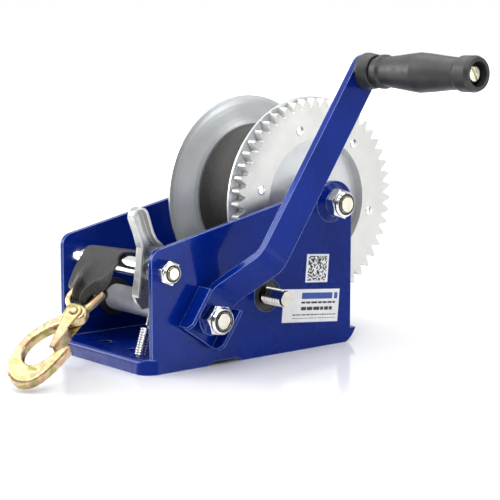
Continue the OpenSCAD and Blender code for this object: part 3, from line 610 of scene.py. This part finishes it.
def add_strap_roll():
    """Turns of webbing on the drum, each a little out of line with the next."""
    chance = random.Random(4)
    layers = 18
    pitch = (ROLL_RADIUS - CORE_RADIUS) / layers
    segments = 120
    ripple = 0.12 * MM
    verts, faces, uvs = [], [], []
    for layer in range(layers):
        outermost = layer == layers - 1
        inner = CORE_RADIUS + layer * pitch + 0.05 * MM
        outer = inner + pitch - 0.1 * MM
        shift = 0.0 if outermost else chance.uniform(-0.35, 0.35) * MM
        outline = turn_outline(inner, outer)
        base = len(verts)
        count = len(outline)
        for i in range(segments):
            angle = math.tau * i / segments
            lift = ripple * math.sin(3 * angle + layer) if outermost else 0.0
            for radius, x in outline:
                reach = radius + lift * (0.5 + 0.5 * math.cos(math.pi * x / STRAP_WIDTH)) - ripple
                y = AXLE.y + reach * math.cos(angle)
                z = AXLE.z + reach * math.sin(angle)
                verts.append(Vector((STRAP_X + x + shift, y, z)))
        for i in range(segments):
            near = base + i * count
            far = base + (i + 1) % segments * count
            for k in range(count):
                after = (k + 1) % count
                faces.append((near + k, near + after, far + after, far + k))
                rows = (i, i, i + 1, i + 1)
                columns = (k, after, after, k)
                uvs.extend((outline[c][1], math.tau * r / segments * outer) for r, c in zip(rows, columns))
    roll = add_piece("webbing_roll", verts, faces, strap, "drum", uvs=uvs)
    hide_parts("strap_roll")


add_strap_roll()


# ---- Hook: the forging with its rounded edges, and the springs ----
def add_forging():
    """The hook's body with its sharp CAD edges worn round."""
    forging = bpy.data.objects.new("hook_forging", nodes["hook_body"].data.copy())
    scene.collection.objects.link(forging)
    remesh = forging.modifiers.new("remesh", "REMESH")
    remesh.mode = "VOXEL"
    remesh.voxel_size = 0.55 * MM
    soften = forging.modifiers.new("soften", "SMOOTH")
    soften.factor = 0.5
    soften.iterations = 30
    settle(forging)
    forging.data.materials.clear()
    forging.data.materials.append(gold)
    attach(forging, "hook")
    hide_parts("hook_body")


add_forging()


def coil(radius, pitch, turns, start=0.0, per_turn=18):
    """Points of a helix about Z, from the origin up."""
    points = []
    for i in range(int(turns * per_turn) + 1):
        angle = start + math.tau * i / per_turn
        points.append(Vector((radius * math.cos(angle), radius * math.sin(angle), pitch * i / per_turn)))
    return points


def add_pawl_spring():
    """Close coil between a hole in the floor and the pawl's ear, with a hooked end in each."""
    foot = Vector((44, -102, 12)) * MM
    head = Vector((48.3, -91.5, 56)) * MM
    along = (head - foot).normalized()
    turn = along.to_track_quat("Z", "X").to_matrix()
    length = (head - foot).length
    radius = 3.3 * MM
    coil_start = 1.8 * MM
    low = [Vector((2.2 * MM, 0, -5.2 * MM)), Vector((0.6 * MM, 0, -5.4 * MM)), Vector((0, 0, -4.4 * MM)),
           Vector((0, 0, -1.2 * MM)), Vector((radius * 0.5, -radius * 0.55, 0.6 * MM))]
    turns = [Vector((p.x, p.y, p.z + coil_start)) for p in coil(radius, 2.0 * MM, 10.5)]
    top = turns[-1].z
    high = [Vector((-radius * 0.75, -radius * 0.45, top + 0.7 * MM)),
            Vector((-radius * 0.2, -radius * 0.2, top + 2 * MM)),
            Vector((0, 0, top + 4.5 * MM)),
            Vector((0, 0, length - 4 * MM)),
            Vector((0, 0, length - 1.6 * MM))]
    path = [foot + turn @ p for p in spline(low, 4) + turns + spline(high, 5)]
    through_ear = [Vector((0.1, 0, -0.2)) * MM, Vector((-1.2, 0, 0.2)) * MM, Vector((-5.4, 0, 0)) * MM]
    path += spline([path[-1]] + [head + step for step in through_ear], 5)[1:]
    verts, faces = wire(path, 0.9 * MM, 10)
    spring = add_piece("pawl_spring_coil", verts, faces, bright_zinc)
    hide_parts("pawl_spring")
    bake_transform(spring)


add_pawl_spring()


def add_latch_spring():
    """Two small coils round the latch's rivet, one on each side of the hook's neck."""
    verts, faces = [], []
    for level in (-9.75 * MM, -1.55 * MM):
        turns = coil(3.8 * MM, 0.42 * MM, 2.75, math.radians(60), 20)
        path = [on_hook(p.x, p.y, p.z + level) for p in turns]
        more, quads = wire(path, 0.34 * MM, 8)
        faces += [tuple(index + len(verts) for index in quad) for quad in quads]
        verts += more
    spring = add_piece("latch_spring_coils", verts, faces, bright_zinc, "hook")
    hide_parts("latch_spring")


add_latch_spring()


# ---- Nylon rings of the lock nuts ----
def add_nut_insert(name, node, bore, outer, body):
    """The nylon ring that shows at the end of a lock nut."""
    low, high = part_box(node)
    centre = ((low.y + high.y) / 2, (low.z + high.z) / 2)
    end = high.x
    proud = 0.25 * MM
    outline = [(bore, end - 0.6 * MM), (outer, end - 0.6 * MM), (outer, end + proud * 0.4),
               (outer - 0.5 * MM, end + proud), (bore + 0.5 * MM, end + proud), (bore, end)]
    verts, faces = turned(centre, outline, 64)
    add_piece(name, verts, faces, insert_dark, body)


M14_RING = (7.2 * MM, 8.9 * MM)
M10_RING = (5.2 * MM, 6.8 * MM)
add_nut_insert("axle_nut_ring", "axle_nut", *M14_RING, "frame")
add_nut_insert("hub_nut_ring", "hub_nut", *M14_RING, "crank")
add_nut_insert("rod_nut_ring", "rod_nut", *M10_RING, "frame")


# ---- Plain print on the two stickers ----
def add_print(name, node, turn, marks, material):
    """Thin ink blocks on a sticker; each mark is its middle along and up from the sticker's middle, then its
    length and height, in mm."""
    centre = middle(node)
    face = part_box(node)[1].x
    lean = math.radians(turn)
    verts, faces = [], []
    for along, up, length, height in marks:
        base = len(verts)
        for depth in (-0.02 * MM, 0.04 * MM):
            for sy, sz in ((-0.5, -0.5), (0.5, -0.5), (0.5, 0.5), (-0.5, 0.5)):
                y = (along + sy * length) * MM
                z = (up + sz * height) * MM
                verts.append(Vector((face + depth, centre.y + y * math.cos(lean) - z * math.sin(lean),
                                     centre.z + y * math.sin(lean) + z * math.cos(lean))))
        for quad in ((0, 3, 2, 1), (4, 5, 6, 7), (0, 1, 5, 4), (1, 2, 6, 5), (2, 3, 7, 6), (3, 0, 4, 7)):
            faces.append(tuple(base + corner for corner in quad))
    add_piece(name, verts, faces, material, "frame", smooth=False)


def text_row(chance, start, end, up, height, shortest, longest):
    """A row of plain dashes with gaps, as a stand-in for small print."""
    gap = 0.9
    marks = []
    x = start
    while x < end - shortest:
        length = min(chance.uniform(shortest, longest), end - x)
        marks.append((x + length / 2, up, length, height))
        x += length + gap
    return marks


def add_prints():
    """A heading bar and rows of dashes on one sticker, a random pattern of squares on the other."""
    chance = random.Random(11)
    rating_turn = -5.5
    code_turn = -5
    heading = [(6, 8.2, 34, 5.2), (27, 8.2, 3.6, 5.2)]
    add_print("rating_heading", "rating_label", rating_turn, heading, blue_ink)
    small = text_row(chance, -11, 28, 2.6, 1.6, 2, 7)
    small += text_row(chance, -11, 24, -2.4, 2.8, 3, 8)
    small += text_row(chance, -20, 28, -7.6, 1.0, 1.2, 4)
    rule = (4, -10.4, 48, 0.35)
    add_print("rating_rows", "rating_label", rating_turn, small + [rule], black_ink)
    cells = 19
    cell = 20.5 / cells
    filled = 0.52
    places = [(i - (cells - 1) / 2) * cell for i in range(cells)]
    squares = [(along, up, cell, cell) for along in places for up in places if chance.random() < filled]
    add_print("code_blocks", "code_label", code_turn, squares, black_ink)


add_prints()


# ---- Floor, light and background ----
def add_floor():
    """Pale glossy floor that fades to a plain white sweep away from the object."""
    mesh = bpy.data.meshes.new("floor")
    half = 12.0
    corners = [(-half, -half, 0), (half, -half, 0), (half, half, 0), (-half, half, 0)]
    mesh.from_pydata(corners, [], [(0, 1, 2, 3)])
    floor = bpy.data.objects.new("floor", mesh)
    scene.collection.objects.link(floor)
    look = Look("floor", Specular_IOR_Level=0.5, Emission_Strength=1.0)
    place = look.coordinates.outputs["Object"]
    away = look.node("ShaderNodeVectorMath", {0: place}, operation="LENGTH").outputs["Value"]
    far = look.ramp(away, (0.30, 0.0), (0.75, 1.0))
    shade = look.ramp(look.noise(0.4, 3), (0.3, (0.88, 0.885, 0.89)), (0.7, (0.92, 0.92, 0.925)))
    rough = look.ramp(look.noise(0.15, 3), (0.3, 0.10), (0.7, 0.15))
    mesh.materials.append(look.set(Base_Color=look.mix(far, shade, (0.02, 0.02, 0.02)), Roughness=rough,
                                   Emission_Color=look.mix(far, (0.0, 0.0, 0.0), (1.0, 1.0, 1.0))))


def add_light(name, place, target, size, watts):
    data = bpy.data.lights.new(name, "AREA")
    data.shape = "RECTANGLE"
    data.size, data.size_y = size
    data.energy = watts
    light = bpy.data.objects.new(name, data)
    scene.collection.objects.link(light)
    light.location = place
    aim(light, target)


def add_world():
    """White sweep behind the object, a dim room on the camera's side; what is seen directly is white."""
    world = bpy.data.worlds.new("studio")
    world.use_nodes = True
    tree = world.node_tree
    background = tree.nodes["Background"]
    direction = tree.nodes.new("ShaderNodeTexCoord").outputs["Generated"]
    facing = tree.nodes.new("ShaderNodeVectorMath")
    facing.operation = "DOT_PRODUCT"
    tree.links.new(direction, facing.inputs[0])
    behind_object = (-0.76, 0.64, 0.12)
    facing.inputs[1].default_value = behind_object
    ramp = tree.nodes.new("ShaderNodeValToRGB")
    stops = ((0.0, 0.08), (0.45, 0.10), (0.62, 0.45), (0.80, 0.85))
    while len(ramp.color_ramp.elements) < len(stops):
        ramp.color_ramp.elements.new(0.5)
    for element, (position, grey) in zip(ramp.color_ramp.elements, stops):
        element.position = position
        element.color = (grey, grey, grey * 1.03, 1)
    spread = tree.nodes.new("ShaderNodeMapRange")
    spread.inputs["From Min"].default_value = -1.0
    tree.links.new(facing.outputs["Value"], spread.inputs["Value"])
    tree.links.new(spread.outputs["Result"], ramp.inputs["Fac"])
    seen = tree.nodes.new("ShaderNodeMixRGB")
    tree.links.new(tree.nodes.new("ShaderNodeLightPath").outputs["Is Camera Ray"], seen.inputs["Fac"])
    tree.links.new(ramp.outputs["Color"], seen.inputs["Color1"])
    seen.inputs["Color2"].default_value = (1, 1, 1, 1)
    tree.links.new(seen.outputs["Color"], background.inputs["Color"])
    scene.world = world


add_floor()
add_world()
add_light("top_box", (0.0, -0.25, 1.5), (0, 0, 0.1), (2.6, 2.6), 42)
add_light("key", (0.9, -1.0, 1.1), (0, 0, 0.1), (0.5, 0.5), 8)
add_light("left_box", (-1.2, -0.9, 0.7), (0, 0, 0.1), (0.5, 1.0), 12)
add_light("right_strip", (1.5, 0.9, 0.55), (0.05, 0, 0.1), (0.35, 1.0), 5)
scene.view_settings.view_transform = "Standard"
